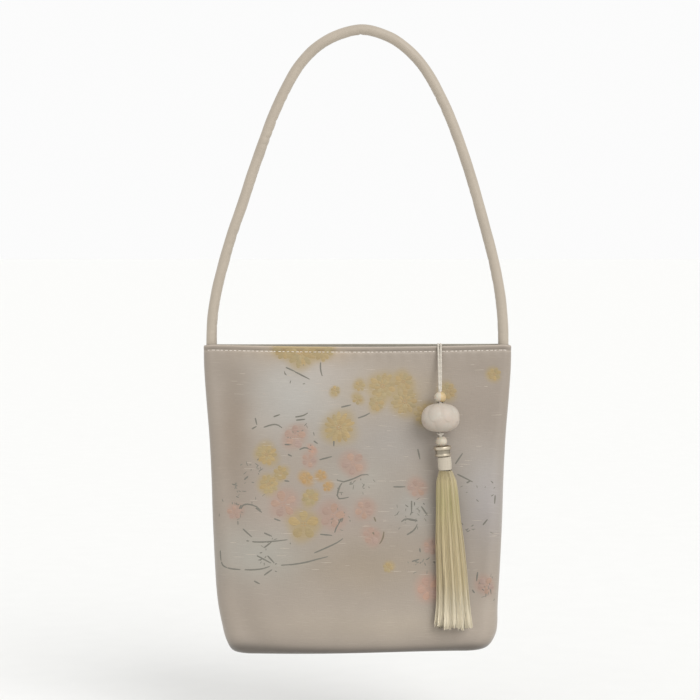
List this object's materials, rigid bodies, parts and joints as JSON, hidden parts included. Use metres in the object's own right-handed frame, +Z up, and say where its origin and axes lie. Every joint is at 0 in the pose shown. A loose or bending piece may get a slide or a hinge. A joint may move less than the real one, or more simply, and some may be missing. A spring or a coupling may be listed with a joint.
{
  "type": "embroidered purse",
  "caption": "Soft boxed brocade purse with a hemmed open mouth, a rolled handle, and a beaded tassel pendant hung over the front rim.",
  "frame": {"origin": "underside of the handle at its top, over the middle of the purse, where it hangs", "axes": "+X to the right as the front is seen, +Y from the front to the back, +Z up"},
  "size_m": [0.2104, 0.066, 0.4264],
  "materials": {
    "brocade": "satin brocade with an embroidered blossom pattern",
    "handle_satin": "rolled satin over a cord",
    "thread": "twisted silk thread",
    "carved_bead": "matte carved",
    "small_bead": "polished",
    "collar": "pale, polished",
    "neck_thread": "glossy wound thread",
    "tassel_thread": "loose glossy strands"
  },
  "bodies": {
    "root": {"front_panel": "brocade", "back_panel": "brocade", "handle": "handle_satin", "pendant_cord": "thread", "bead_top": "small_bead", "lotus_bead": "carved_bead", "bead_bottom": "small_bead", "tassel_collar": "collar", "tassel_neck": "neck_thread", "tassel_skirt": "tassel_thread"}
  },
  "joints": []
}
